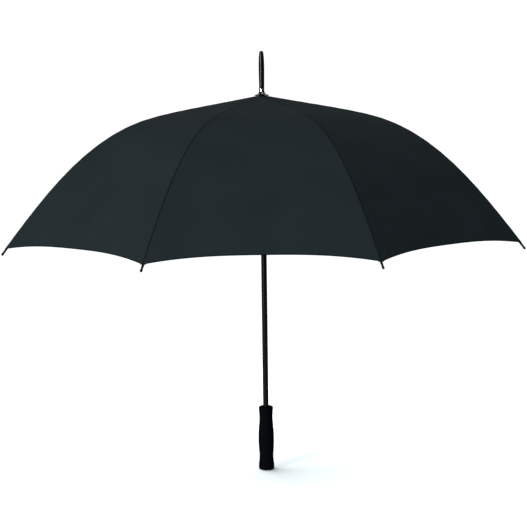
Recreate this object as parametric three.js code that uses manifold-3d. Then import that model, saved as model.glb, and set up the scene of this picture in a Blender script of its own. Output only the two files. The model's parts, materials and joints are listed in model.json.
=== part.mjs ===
// A straight golf umbrella, open: eight ribs hinged on a top notch, eight stretchers hinged on a sliding
// runner, a tubular shaft with two spring latches, a foam grip, a long ferrule and a canopy of eight panels.
// Millimetres, +Z up, origin at the centre of the grip's flat end. The ribs, stretchers and runner form a
// closed linkage: the stretcher is as long as the rib from its hinge to the stretcher's rivet, and both
// hinge wires have the same radius, so the runner stays on the shaft at every angle of the ribs.
import * as THREE from "three";
import { mergeVertices } from "three/addons/utils/BufferGeometryUtils.js";
import Module from "manifold-3d";

const wasm = await Module();
wasm.setup();

// ---------------------------------------------------------------- driving dimensions
const DEGREE = Math.PI / 180;
const RIBS = 8;
const PANEL_ANGLE = (2 * Math.PI) / RIBS;
const HALF_PANEL = PANEL_ANGLE / 2;
const GAP = 0.3; // between solids that touch

const SHAFT_RADIUS = 7;
const SHAFT_WALL = 0.8;
const SHAFT_BOTTOM = 4;
const BORE_RADIUS = SHAFT_RADIUS + GAP; // of what is fixed on the shaft
const RUNNER_BORE = SHAFT_RADIUS + 0.4;

const HINGE_RADIUS = 12; // of both hinge wires
const HINGE_HEIGHT = 925.3; // of the top notch's wire
const WIRE_RADIUS = 0.5;
const EYE_RADIUS = 2.6;
const EYE_HOLE = 0.95;
const EYE_THICKNESS = 2;
const SLOT_WIDTH = 2.8;
const CROWN_RADIUS = 15; // outside of the notch and of the runner's crown
const SLOT_FLOOR = 9; // radius of the slots' floor

const CAP_LOW = 929.6; // underside of the cap that clamps the cloth
const CAP_HIGH = 933.4;
const COLLAR_HIGH = 947.2; // top of the plated collar
const COLLAR_FOOT = 10.2; // radius where the collar flares onto the cap
const SPIGOT_RADIUS = 5; // of the ferrule inside the shaft
const SPIGOT_LOW = 900;
const SPIKE_TOP = 1038;

const RIB_LENGTH = 762; // a 30 inch rib: the length that its loaded line is drawn over
const TIP_END = 760; // the end of the moulded tip, along the rib
const CORNER_AT = 744; // where the canopy's corner ends, along the rib
const RIVET_AT = 340; // the stretcher's rivet, along the rib
const RIVET_DROP = 5.2; // of the rivet below the rib's centre line
const RIVET_RADIUS = 0.95;
const FLEX_AT = 350; // where the outer rib's bend is taken, along the rib
const ROD_START = FLEX_AT - 1; // the rod's inner end, clear of the folded stretcher
const BEND_PEAK_AT = 313; // where the loaded rib bends most
const START_SLOPE = 9.3 * DEGREE;
const INNER_TURN = 10.5 * DEGREE; // the rib's slope gains this up to the peak
const OUTER_TURN = 31.4 * DEGREE; // and this from the peak to the tip
const INNER_TURN_POWER = 5;
const OUTER_TURN_POWER = 2.27;

const CHANNEL_WIDTH = 3.8;
const CHANNEL_HEIGHT = 3.4;
const CHANNEL_WALL = 0.6;
const CHANNEL_INSET = 8; // from a channel's end to the hinge wire or rivet beside it
const ROD_RADIUS = 1.75;
const CHEEK_INNER = 2.25; // half the gap between the clip's cheeks
const CHEEK_OUTER = 3.2;
const CLIP_LOW = -2.1; // of the clip, along the rib's normal
const CLIP_HIGH = 1.9;

const CLOTH_OFFSET = 3.8; // top of the cloth above the rib's centre line
const CLOTH_THICKNESS = 0.5;
const HEM_RISE = 20.3; // how much shorter the cloth is at the middle of a panel than along a rib
const HEM_POWER = 2.8; // the hem is flat in the middle and turns down near the ribs
const CLOTH_START = -1.6; // along the rib

const GRIP_LENGTH = 160;
const PLUG_RADIUS = 11;
const PLUG_HEAD = 3.3; // height of the plug's head, under the tube
const LATCH_THICKNESS = 1.6;
const LATCH_SLOT = 2.6;
const LATCH_REACH = 11.4; // radius of the latch's nose at rest
const LATCH_END = 6; // how far the latch goes on inside the tube, past each end of its nose
const TOP_LATCH_NOSE = 24;
const BOTTOM_LATCH_NOSE = 10;

// Heights of the runner's outline and window, from its hinge wire.
const CROWN_TOP = 5;
const CROWN_BOTTOM = -7;
const RUNNER_BOTTOM = -44;
const WINDOW_LOW = -41;
const WINDOW_HIGH = -28.5;
const RUNNER_TUBE = 10.5; // radii
const RUNNER_COLLAR = 13;
const CLOSED_ANGLE = 88 * DEGREE; // slope of the rib's link when the umbrella is closed

const ROUND = 20; // segments round a turned piece

// ---------------------------------------------------------------- materials
function material(color, roughness, metalness) {
  return new THREE.MeshStandardMaterial({ color, roughness, metalness });
}
const blackPaint = material(0x0d0f11, 0.35, 0.6);
const ribSteel = material(0x15171a, 0.4, 0.8);
const latchSteel = material(0x9a9da1, 0.3, 1);
const chrome = material(0xd8dadc, 0.08, 1);
const glossPlastic = material(0x0a0b0c, 0.22, 0);
const mattePlastic = material(0x121314, 0.6, 0);
const fibreglass = material(0x101214, 0.45, 0);
const foam = material(0x0c0d0e, 0.95, 0);
const cloth = material(0x23292c, 0.85, 0);

// ---------------------------------------------------------------- solids
// A BufferGeometry's shape as a manifold-3d solid.
function solid(geometry) {
  const bare = geometry.clone();
  bare.deleteAttribute("normal");
  bare.deleteAttribute("uv");
  const merged = mergeVertices(bare, 1e-4);
  const made = new wasm.Manifold(
    new wasm.Mesh({
      numProp: 3,
      vertProperties: merged.attributes.position.array,
      triVerts: new Uint32Array(merged.index.array),
    }),
  );
  return made;
}

// A manifold-3d solid as a BufferGeometry.
function geometryOf(made) {
  const mesh = made.getMesh();
  const geometry = new THREE.BufferGeometry();
  geometry.setAttribute("position", new THREE.BufferAttribute(mesh.vertProperties, 3));
  geometry.setIndex(new THREE.BufferAttribute(mesh.triVerts, 1));
  geometry.computeVertexNormals();
  return geometry;
}

// A turned solid about Z, from (radius, height) pairs that end on the axis or close on themselves.
function turned(profile, segments = ROUND) {
  const points = profile.map(([radius, height]) => new THREE.Vector2(radius, height));
  return new THREE.LatheGeometry(points, segments).rotateX(Math.PI / 2);
}

// A turned ring: the outline runs upwards outside, and the bore closes it.
function turnedRing(boreRadius, outline, segments = ROUND) {
  const low = outline[0][1];
  const high = outline[outline.length - 1][1];
  return turned([[boreRadius, low], ...outline, [boreRadius, high], [boreRadius, low]], segments);
}

function box([x0, y0, z0], [x1, y1, z1]) {
  const made = new THREE.BoxGeometry(x1 - x0, y1 - y0, z1 - z0);
  return made.translate((x0 + x1) / 2, (y0 + y1) / 2, (z0 + z1) / 2);
}

// A round pin along Y through (x, z).
function pinAlongY(radius, halfLength, x, z, segments = 8) {
  return new THREE.CylinderGeometry(radius, radius, 2 * halfLength, segments).translate(x, 0, z);
}

// A flat plate in the XZ plane, centred on y = 0.
function plate(outline, thickness) {
  const shape = new THREE.Shape(outline.map(([x, z]) => new THREE.Vector2(x, z)));
  const made = new THREE.ExtrudeGeometry(shape, { depth: thickness, bevelEnabled: false });
  return made.rotateX(Math.PI / 2).translate(0, thickness / 2, 0);
}

// A solid through rings of points. Every ring has as many points, and both ends are capped.
function loft(rings) {
  const count = rings[0].length;
  const points = rings.flat();
  const triangles = [];
  for (let k = 0; k + 1 < rings.length; k++) {
    for (let j = 0; j < count; j++) {
      const a = k * count + j;
      const b = k * count + ((j + 1) % count);
      triangles.push([a, b, b + count], [a, b + count, a + count]);
    }
  }
  const last = (rings.length - 1) * count;
  for (const [a, b, c] of capOf(rings[0])) triangles.push([c, b, a]);
  for (const [a, b, c] of capOf(rings[rings.length - 1])) triangles.push([last + a, last + b, last + c]);
  const geometry = new THREE.BufferGeometry().setFromPoints(points);
  geometry.setIndex(facingOut(points, triangles).flat());
  return geometry;
}

// A ring's triangles, turning the same way as the ring.
function capOf(ring) {
  const normal = new THREE.Vector3();
  ring.forEach((p, i) => {
    const q = ring[(i + 1) % ring.length];
    normal.add(new THREE.Vector3().crossVectors(p, q));
  });
  normal.normalize();
  const across = new THREE.Vector3(0, 1, 0);
  across.addScaledVector(normal, -across.dot(normal)).normalize();
  const up = new THREE.Vector3().crossVectors(normal, across);
  const flat = ring.map((p) => new THREE.Vector2(p.dot(across), p.dot(up)));
  return THREE.ShapeUtils.triangulateShape(flat, []);
}

// The triangles, turned over if they enclose a negative volume.
function facingOut(points, triangles) {
  const volume = triangles.reduce((sum, [a, b, c]) => {
    const cross = new THREE.Vector3().crossVectors(points[b], points[c]);
    return sum + points[a].dot(cross);
  }, 0);
  return volume > 0 ? triangles : triangles.map(([a, b, c]) => [c, b, a]);
}

// ---------------------------------------------------------------- the loaded rib's line
// The line lies in a plane through the shaft. This is its slope below the horizontal at a length s along the
// rib. A rib loaded by the canopy bends most near the stretcher.
function slopeAt(s) {
  if (s < BEND_PEAK_AT) {
    return START_SLOPE + INNER_TURN * Math.pow(Math.max(s, 0) / BEND_PEAK_AT, INNER_TURN_POWER);
  }
  const left = Math.max(RIB_LENGTH - s, 0) / (RIB_LENGTH - BEND_PEAK_AT);
  return START_SLOPE + INNER_TURN + OUTER_TURN * (1 - Math.pow(left, OUTER_TURN_POWER));
}

// The rib's centre line: { x: radius, z: height, slope } at a length s from the hinge wire.
function ribPoint(s) {
  const steps = Math.max(1, Math.ceil(Math.abs(s) / 4));
  const step = s / steps;
  let x = HINGE_RADIUS;
  let z = HINGE_HEIGHT;
  for (let i = 0; i < steps; i++) {
    const slope = slopeAt((i + 0.5) * step);
    x += step * Math.cos(slope);
    z -= step * Math.sin(slope);
  }
  return { x, z, slope: slopeAt(s) };
}

// A point beside the rib: across (tangential) and up (along the rib's normal) from its centre line.
function besideRib(s, across, up) {
  const { x, z, slope } = ribPoint(s);
  return new THREE.Vector3(x + up * Math.sin(slope), across, z + up * Math.cos(slope));
}

const rivet = besideRib(RIVET_AT, 0, -RIVET_DROP);
const linkLength = Math.hypot(rivet.x - HINGE_RADIUS, rivet.z - HINGE_HEIGHT);
const openAngle = Math.asin((HINGE_HEIGHT - rivet.z) / linkLength); // of the rib's link and of the stretcher
const runnerOpen = HINGE_HEIGHT - 2 * linkLength * Math.sin(openAngle);
const runnerClosed = HINGE_HEIGHT - 2 * linkLength * Math.sin(CLOSED_ANGLE);

const topCatch = runnerOpen + RUNNER_BOTTOM - GAP; // a flat catch, just under the open runner
const bottomCatch = runnerClosed + WINDOW_LOW + GAP; // a flat catch inside the closed runner's window

// ---------------------------------------------------------------- shaft and what is fixed on it
function latchSlot(catchHeight, noseLength, facing) {
  const low = facing > 0 ? catchHeight - noseLength - 2 : catchHeight - 1;
  const high = facing > 0 ? catchHeight + 1 : catchHeight + noseLength + 2;
  return solid(box([-LATCH_SLOT / 2, 3, low], [LATCH_SLOT / 2, 9, high]));
}

function shaftTube() {
  const outline = [
    [SHAFT_RADIUS, SHAFT_BOTTOM],
    [SHAFT_RADIUS, CAP_HIGH],
  ];
  return geometryOf(
    solid(turnedRing(SHAFT_RADIUS - SHAFT_WALL, outline, 24))
      .subtract(latchSlot(topCatch, TOP_LATCH_NOSE, 1))
      .subtract(latchSlot(bottomCatch, BOTTOM_LATCH_NOSE, -1)),
  );
}

// A flat spring-steel latch: a plate inside the tube whose nose stands out through the slot.
// Facing 1 has its flat catch on top, and facing -1 has it below.
function latch(catchHeight, noseLength, facing) {
  const shoulder = 5.8;
  const inner = 1.2;
  const outline = [
    [inner, -noseLength - LATCH_END],
    [shoulder, -noseLength - LATCH_END],
    [shoulder, -noseLength],
    [SHAFT_RADIUS, -noseLength + 1],
    [LATCH_REACH, -4],
    [LATCH_REACH, 0],
    [shoulder, 0],
    [shoulder, LATCH_END],
    [inner, LATCH_END],
  ].map(([out, up]) => [out, catchHeight + facing * up]);
  return plate(outline, LATCH_THICKNESS).rotateZ(Math.PI / 2);
}

// Moulded foam with a waist above and below its swell.
function foamGrip() {
  const outside = [
    [1.2, 18.3],
    [5, 19.5],
    [12, 19.2],
    [34, 17.4],
    [55, 18.7],
    [76, 19.4],
    [98, 18.9],
    [118, 17.3],
    [134, 16.8],
    [150, 17.6],
    [157, 17.9],
    [159.4, 17],
    [GRIP_LENGTH, 15.4],
  ];
  const floor = 3.7;
  const recess = PLUG_RADIUS + 0.4;
  const profile = [
    [BORE_RADIUS, floor],
    [recess, floor],
    [recess, 0.6],
    [17.2, 0.6],
    ...outside.map(([height, radius]) => [radius, height]),
    [BORE_RADIUS, GRIP_LENGTH],
    [BORE_RADIUS, floor],
  ];
  return turned(profile);
}

function gripPlug() {
  const stem = SHAFT_RADIUS - SHAFT_WALL - GAP;
  const top = 30;
  return turned([
    [0, 0],
    [PLUG_RADIUS - 0.6, 0],
    [PLUG_RADIUS, 0.6],
    [PLUG_RADIUS, PLUG_HEAD],
    [stem, PLUG_HEAD],
    [stem, top],
    [0, top],
  ]);
}

function canopyCap() {
  return turnedRing(BORE_RADIUS, [
    [17.2, CAP_LOW],
    [17.8, CAP_LOW + 0.8],
    [17.6, CAP_LOW + 2.6],
    [15.5, CAP_HIGH - 0.6],
    [10.5, CAP_HIGH],
  ]);
}

// The plated collar: a bell that flares down onto the cap.
function ferruleCollar() {
  const flare = new THREE.CubicBezierCurve(
    new THREE.Vector2(COLLAR_FOOT, CAP_HIGH + GAP + 0.6),
    new THREE.Vector2(7.4, CAP_HIGH + 3.2),
    new THREE.Vector2(6.5, CAP_HIGH + 5.5),
    new THREE.Vector2(6.5, COLLAR_HIGH - 0.6),
  );
  const bell = flare.getPoints(6).map((p) => [p.x, p.y]);
  const outline = [[COLLAR_FOOT, CAP_HIGH + GAP], ...bell, [6.2, COLLAR_HIGH]];
  return turnedRing(SPIGOT_RADIUS + GAP, outline);
}

// The black ferrule: a spigot inside the shaft, then a slim spike with a round end.
function ferruleSpike() {
  const domeHeight = 5;
  const shoulder = SPIKE_TOP - domeHeight;
  const shoulderRadius = 5.2;
  const body = new THREE.SplineCurve(
    [
      [6.3, COLLAR_HIGH + GAP],
      [6.55, shoulder - 69],
      [6.85, shoulder - 49],
      [6.9, shoulder - 29],
      [6.35, shoulder - 12],
      [shoulderRadius, shoulder],
    ].map(([radius, height]) => new THREE.Vector2(radius, height)),
  );
  const round = [25, 60].map((angle) => [
    shoulderRadius * Math.cos(angle * DEGREE),
    shoulder + domeHeight * Math.sin(angle * DEGREE),
  ]);
  return turned([
    [0, SPIGOT_LOW],
    [SPIGOT_RADIUS, SPIGOT_LOW],
    [SPIGOT_RADIUS, COLLAR_HIGH + GAP],
    ...body.getPoints(7).map((p) => [p.x, p.y]),
    ...round,
    [0, SPIKE_TOP],
  ]);
}

// ---------------------------------------------------------------- notch, runner and their hinge wires
function hingeWire(height) {
  return new THREE.TorusGeometry(HINGE_RADIUS, WIRE_RADIUS, 5, 24).translate(0, 0, height);
}

// Cuts a wire groove and a slot for each rib or stretcher into a turned crown.
function slottedCrown(blank, wireHeight, slotLow, slotHigh) {
  const grooveHalf = WIRE_RADIUS + GAP;
  const groove = turnedRing(HINGE_RADIUS - grooveHalf - 0.1, [
    [CROWN_RADIUS + 1, wireHeight - grooveHalf],
    [CROWN_RADIUS + 1, wireHeight + grooveHalf],
  ]);
  let crown = solid(blank).subtract(solid(groove));
  for (let i = 0; i < RIBS; i++) {
    const slot = box([SLOT_FLOOR, -SLOT_WIDTH / 2, slotLow], [CROWN_RADIUS + 2, SLOT_WIDTH / 2, slotHigh]);
    crown = crown.subtract(solid(slot.rotateZ(HALF_PANEL + i * PANEL_ANGLE)));
  }
  return crown;
}

function topNotch() {
  const low = HINGE_HEIGHT - 13;
  const high = HINGE_HEIGHT + 2.2;
  const tube = 10.2;
  const blank = turnedRing(BORE_RADIUS, [
    [tube, low],
    [tube, low + 7],
    [CROWN_RADIUS, low + 9],
    [CROWN_RADIUS, high],
  ]);
  return geometryOf(slottedCrown(blank, HINGE_HEIGHT, low - 1, high + 1));
}

function runner() {
  const outline = [
    [RUNNER_COLLAR - 1, RUNNER_BOTTOM],
    [RUNNER_COLLAR, RUNNER_BOTTOM + 1.5],
    [RUNNER_COLLAR, RUNNER_BOTTOM + 5],
    [RUNNER_TUBE, RUNNER_BOTTOM + 8],
    [RUNNER_TUBE, CROWN_BOTTOM - 1],
    [CROWN_RADIUS, CROWN_BOTTOM + 1.5],
    [CROWN_RADIUS, CROWN_TOP],
  ].map(([radius, height]) => [radius, runnerOpen + height]);
  const crown = slottedCrown(
    turnedRing(RUNNER_BORE, outline),
    runnerOpen,
    runnerOpen - EYE_RADIUS - 0.8,
    runnerOpen + CROWN_TOP + 1,
  );
  const window = box([-2, 6, runnerOpen + WINDOW_LOW], [2, 14, runnerOpen + WINDOW_HIGH]);
  return geometryOf(crown.subtract(solid(window)));
}

// ---------------------------------------------------------------- one rib, in the XZ plane
// The U section of a pressed steel channel that opens downwards, as (across, up).
function channelSection(width, height, wall, up) {
  const w = width / 2;
  const low = -height / 2;
  return [
    [-w, up * low],
    [-w, up * -low],
    [w, up * -low],
    [w, up * low],
    [w - wall, up * low],
    [w - wall, up * (-low - wall)],
    [-w + wall, up * (-low - wall)],
    [-w + wall, up * low],
  ];
}

function stations(from, to, steps) {
  return Array.from({ length: steps + 1 }, (_, i) => from + ((to - from) * i) / steps);
}

// A flat eye round a hinge wire at (x, z), with a neck along a direction.
function eye(x, z, slope, neckLength) {
  const disc = pinAlongY(EYE_RADIUS, EYE_THICKNESS / 2, 0, 0, 12);
  const neck = box([0, -EYE_THICKNESS / 2, -1.3], [neckLength, EYE_THICKNESS / 2, 1.3]);
  const hole = pinAlongY(EYE_HOLE, 3, 0, 0);
  const made = geometryOf(solid(disc).add(solid(neck)).subtract(solid(hole)));
  return solid(made.rotateY(slope).translate(x, 0, z));
}

// The inner rib: a steel channel from the notch, ending in the clip that holds the stretcher and the rod.
function innerRib() {
  const section = channelSection(CHANNEL_WIDTH, CHANNEL_HEIGHT, CHANNEL_WALL, 1);
  const rings = stations(CHANNEL_INSET, RIVET_AT - CHANNEL_INSET, 7).map((s) =>
    section.map(([across, up]) => besideRib(s, across, up)),
  );
  const clip = [
    [RIVET_AT - 12, 0.3],
    [RIVET_AT - 10, 0],
    [RIVET_AT + 4, 0],
  ].map(([s, taper]) => rectangleAt(s, CHEEK_OUTER - taper, CLIP_LOW, CLIP_HIGH + 0.1 - taper));
  const block = solid(loft(clip));
  const cheeks = [-1, 1].map((side) => {
    const middle = (side * (CHEEK_INNER + CHEEK_OUTER)) / 2;
    const half = (CHEEK_OUTER - CHEEK_INNER) / 2;
    const ends = [RIVET_AT + 2, FLEX_AT + 5].map((s) => rectangleAt(s, half, CLIP_LOW, CLIP_HIGH, middle));
    return solid(loft(ends));
  });
  const tangent = ribPoint(RIVET_AT).slope;
  const lug = solid(plate(lugOutline(), 1.8).rotateY(tangent).translate(rivet.x, 0, rivet.z));
  const hole = solid(pinAlongY(RIVET_RADIUS + 0.4, 4, rivet.x, rivet.z));
  const made = solid(loft(rings))
    .add(eye(HINGE_RADIUS, HINGE_HEIGHT, START_SLOPE, 10))
    .add(block)
    .add(cheeks[0])
    .add(cheeks[1])
    .add(lug)
    .subtract(hole);
  return geometryOf(made);
}

// The lug that hangs under the clip, round the rivet: a half disc below and a root above.
function lugOutline() {
  const radius = 2.9;
  const round = stations(180, 360, 6).map((angle) => [
    radius * Math.cos(angle * DEGREE),
    radius * Math.sin(angle * DEGREE),
  ]);
  return [...round, [radius, RIVET_DROP - 1], [-radius, RIVET_DROP - 1]];
}

// A rectangle across the rib at s, from low to high along its normal, half as wide as stated about a middle.
function rectangleAt(s, half, low, high, middle = 0) {
  return [
    besideRib(s, middle - half, low),
    besideRib(s, middle + half, low),
    besideRib(s, middle + half, high),
    besideRib(s, middle - half, high),
  ];
}

// The outer rib: a fibreglass rod from the clip to inside the tip.
function outerRib() {
  const sides = 6;
  const rings = stations(ROD_START, CORNER_AT + 6, 9).map((s) =>
    stations(0, 2 * Math.PI, sides)
      .slice(0, sides)
      .map((angle) => besideRib(s, ROD_RADIUS * Math.cos(angle), ROD_RADIUS * Math.sin(angle))),
  );
  return loft(rings);
}

// The moulded tip: a sleeve over the rod's end with a small round nose.
function ribTip() {
  const start = CORNER_AT - 5;
  const length = TIP_END - start;
  const sleeve = 2.5;
  const nose = 2.9;
  const socket = ROD_RADIUS + GAP;
  const socketEnd = CORNER_AT + 7 - start;
  const profile = [
    [0, socketEnd],
    [socket, socketEnd],
    [socket, 0],
    [sleeve, 0],
    [sleeve, length - 6.5],
    [nose, length - 5],
    [nose, length - 2],
    [nose * 0.7, length - 0.6],
    [0, length],
  ];
  const { slope } = ribPoint(CORNER_AT);
  const base = ribPoint(start);
  return turned(profile, 8).rotateY(Math.PI / 2 + slope).translate(base.x, 0, base.z);
}

// A stretcher along +X from the runner's wire at the origin to the rivet: channel, eye, fork and rivet.
function stretcher() {
  const section = channelSection(CHANNEL_WIDTH - 0.2, CHANNEL_HEIGHT, CHANNEL_WALL, -1);
  const from = CHANNEL_INSET + 1;
  const to = linkLength - from;
  const rings = [from, to].map((x) => section.map(([across, up]) => new THREE.Vector3(x, across, up)));
  const earInner = 1.25;
  const earOuter = 2.25;
  const half = CHANNEL_HEIGHT / 2;
  let made = solid(loft(rings)).add(eye(0, 0, 0, from + 2));
  const web = box([to - 3, -earOuter, -half], [to + 3, earOuter, half]);
  made = made.add(solid(web));
  for (const side of [-1, 1]) {
    const low = Math.min(side * earInner, side * earOuter);
    const high = Math.max(side * earInner, side * earOuter);
    made = made.add(solid(box([to, low, -half], [linkLength, high, half])));
    const disc = pinAlongY(2.4, (earOuter - earInner) / 2, linkLength, 0, 10);
    made = made.add(solid(disc.translate(0, (side * (earInner + earOuter)) / 2, 0)));
  }
  made = made.add(solid(pinAlongY(RIVET_RADIUS, earOuter + 0.1, linkLength, 0)));
  for (const side of [-1, 1]) {
    const head = pinAlongY(1.5, 0.35, linkLength, 0).translate(0, side * (earOuter + 0.3), 0);
    made = made.add(solid(head));
  }
  return geometryOf(made);
}

// ---------------------------------------------------------------- canopy, the share that one rib carries
// The cloth is straight between two ribs at equal lengths along them. share runs from 0 at the rib to 1 at
// the middle of the panel, and side is -1 or 1. s follows the rib, and depth is measured into the cloth.
function clothPoint(s, share, side, depth) {
  const ridge = besideRib(s, 0, CLOTH_OFFSET - depth);
  const toMiddle = ridge.x * Math.sin(HALF_PANEL);
  const edge = Math.max(0, share - GAP / 2 / toMiddle);
  const across = edge * toMiddle * Math.cos(HALF_PANEL);
  const inward = edge * toMiddle * Math.sin(HALF_PANEL);
  return new THREE.Vector3(ridge.x - inward, side * across, ridge.z);
}

function hemAt(share) {
  return CORNER_AT - HEM_RISE * (1 - (1 - share) ** HEM_POWER);
}

function clothShare(from, toOf, steps, columns) {
  const rings = stations(0, 1, steps).map((part) => {
    const row = (depth) =>
      columns.map((c) => {
        const share = Math.abs(c);
        return clothPoint(from + (toOf(share) - from) * part, share, Math.sign(c), depth);
      });
    return [...row(0), ...row(CLOTH_THICKNESS).reverse()];
  });
  return loft(rings);
}

// ---------------------------------------------------------------- assembly
const umbrella = new THREE.Group();

function place(parent, name, geometry, finish) {
  const mesh = new THREE.Mesh(geometry, finish);
  mesh.name = name;
  parent.add(mesh);
  return mesh;
}

place(umbrella, "shaft_tube", shaftTube(), blackPaint);
place(umbrella, "foam_grip", foamGrip(), foam);
place(umbrella, "grip_end_plug", gripPlug(), mattePlastic);
place(umbrella, "canopy_cap", canopyCap(), mattePlastic);
place(umbrella, "ferrule_collar", ferruleCollar(), chrome);
place(umbrella, "ferrule_spike", ferruleSpike(), glossPlastic);
place(umbrella, "top_notch", topNotch(), mattePlastic);
place(umbrella, "notch_hinge_wire", hingeWire(HINGE_HEIGHT), latchSteel);
place(umbrella, "runner", runner(), mattePlastic);
place(umbrella, "runner_hinge_wire", hingeWire(runnerOpen), latchSteel);
place(umbrella, "top_latch", latch(topCatch, TOP_LATCH_NOSE, 1), latchSteel);
place(umbrella, "bottom_latch", latch(bottomCatch, BOTTOM_LATCH_NOSE, -1), latchSteel);

const innerRibShape = innerRib();
const outerRibShape = outerRib();
const tipShape = ribTip();
const stretcherShape = stretcher();
const innerClothShape = clothShare(CLOTH_START, () => FLEX_AT - GAP / 2, 12, [-1, 0, 1]);
const outerClothShape = clothShare(FLEX_AT + GAP / 2, hemAt, 7, stations(-1, 1, 6));

for (let i = 1; i <= RIBS; i++) {
  const arm = new THREE.Group();
  arm.rotation.z = HALF_PANEL + (i - 1) * PANEL_ANGLE;
  umbrella.add(arm);
  place(arm, `rib_inner_${i}`, innerRibShape, ribSteel);
  place(arm, `rib_outer_${i}`, outerRibShape, fibreglass);
  place(arm, `rib_tip_${i}`, tipShape, glossPlastic);
  place(arm, `canopy_inner_${i}`, innerClothShape, cloth);
  place(arm, `canopy_outer_${i}`, outerClothShape, cloth);
  const strut = place(arm, `stretcher_${i}`, stretcherShape, ribSteel);
  strut.position.set(HINGE_RADIUS, 0, runnerOpen);
  strut.rotation.y = -openAngle;
}

export default umbrella;
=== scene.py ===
"""An open golf umbrella: shaft, grip, ferrule, runner, ribs and canopy, in a plain white studio.

Lengths are in millimetres until a mesh is made. The arm frame has X out along a rib, Y across it and Z up;
a panel's frame has X out through the middle between two ribs. s is a length along a rib from its hinge wire.
"""

import json
import math

import bmesh
import bpy
import numpy as np
from mathutils import Euler, Matrix, Vector


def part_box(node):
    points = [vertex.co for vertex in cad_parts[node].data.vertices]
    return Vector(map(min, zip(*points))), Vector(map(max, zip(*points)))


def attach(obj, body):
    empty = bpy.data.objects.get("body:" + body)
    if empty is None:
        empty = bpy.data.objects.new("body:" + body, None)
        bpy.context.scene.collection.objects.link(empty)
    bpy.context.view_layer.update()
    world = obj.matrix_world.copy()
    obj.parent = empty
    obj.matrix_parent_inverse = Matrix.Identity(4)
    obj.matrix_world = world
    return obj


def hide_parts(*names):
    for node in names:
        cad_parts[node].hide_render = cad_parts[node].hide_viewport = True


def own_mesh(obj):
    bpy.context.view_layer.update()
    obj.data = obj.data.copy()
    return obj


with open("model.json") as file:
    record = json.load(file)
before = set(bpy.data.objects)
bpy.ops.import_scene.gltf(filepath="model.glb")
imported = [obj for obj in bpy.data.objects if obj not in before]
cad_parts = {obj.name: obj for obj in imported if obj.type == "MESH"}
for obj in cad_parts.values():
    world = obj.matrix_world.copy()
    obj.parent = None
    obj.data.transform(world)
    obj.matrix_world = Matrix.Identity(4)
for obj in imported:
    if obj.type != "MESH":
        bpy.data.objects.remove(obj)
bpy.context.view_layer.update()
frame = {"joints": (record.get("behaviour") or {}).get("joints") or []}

MM = 0.001
DEGREE = math.pi / 180
RIBS = range(1, 9)
HALF_PANEL = math.pi / 8
JOINTS = {joint["name"]: joint for joint in frame["joints"]}


# -------------------------------------------------- dimensions
def place_of(joint):
    """(radius, height) of a hinge, in millimetres."""
    x, y, z = JOINTS[joint]["pos_m"]
    return math.hypot(x, y) / MM, z / MM


def heights_of(node):
    low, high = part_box(node)
    return low.z / MM, high.z / MM


HINGE_RADIUS, HINGE_HEIGHT = place_of("rib_fold_1")
RIVET_RADIUS, RIVET_HEIGHT = place_of("stretcher_hinge_1")
RUNNER_HEIGHT = place_of("runner_hinge")[1]
LINK_LENGTH = math.hypot(RIVET_RADIUS - HINGE_RADIUS, RIVET_HEIGHT - RUNNER_HEIGHT)
LINK_SLOPE = math.asin((RIVET_HEIGHT - RUNNER_HEIGHT) / LINK_LENGTH)
FOLD = JOINTS["rib_fold_1"]["range_deg"][1] * DEGREE
FLEX = JOINTS["rib_flex_1"]["range_deg"][0] * DEGREE

RIB_LENGTH = 762
TIP_END = 760
CORNER_AT = 744
RIVET_AT = 340
FLEX_AT = 350
BEND_PEAK_AT = 313
START_SLOPE = 9.3 * DEGREE
INNER_TURN = 10.5 * DEGREE
OUTER_TURN = 31.4 * DEGREE
INNER_TURN_POWER = 5
OUTER_TURN_POWER = 2.27
CHANNEL_WIDTH = 3.8
CHANNEL_HEIGHT = 3.4
CHANNEL_WALL = 0.6
ROD_RADIUS = 1.75
CLOTH_OFFSET = 3.8
CLOTH_START = -1.6
HEM_RISE = 20.3
HEM_POWER = 2.8
FIRST_FOLD_AT = 490
SECOND_FOLD_AT = 620
LEAST_TUCK = 2
MOST_TUCK = 18
TURNED_HEM = 9
SHAFT_RADIUS = 7
SHAFT_WALL = 0.8


# -------------------------------------------------- the rib's line
def slope_at(s):
    inner = START_SLOPE + INNER_TURN * (np.maximum(s, 0) / BEND_PEAK_AT) ** INNER_TURN_POWER
    left = np.maximum(RIB_LENGTH - s, 0) / (RIB_LENGTH - BEND_PEAK_AT)
    outer = START_SLOPE + INNER_TURN + OUTER_TURN * (1 - np.minimum(left, 1) ** OUTER_TURN_POWER)
    return np.where(s < BEND_PEAK_AT, inner, outer)


def rib_line():
    """Lengths along the rib, with the radius and height of its centre line at each."""
    s = np.arange(-20.0, RIB_LENGTH + 20, 0.5)
    middle = slope_at((s[1:] + s[:-1]) / 2)
    x = np.concatenate([[0], np.cumsum(0.5 * np.cos(middle))])
    z = np.concatenate([[0], np.cumsum(-0.5 * np.sin(middle))])
    start = np.searchsorted(s, 0)
    return s, x - x[start] + HINGE_RADIUS, z - z[start] + HINGE_HEIGHT


LINE_S, LINE_X, LINE_Z = rib_line()


def beside_rib(s, across=0.0, up=0.0):
    """Points in the arm frame: across the rib, and up along its normal from its centre line."""
    s, across, up = np.broadcast_arrays(np.asarray(s, float), across, up)
    slope = slope_at(s)
    x = np.interp(s, LINE_S, LINE_X) + up * np.sin(slope)
    z = np.interp(s, LINE_S, LINE_Z) + up * np.cos(slope)
    return np.stack([x, across, z], -1)


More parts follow.
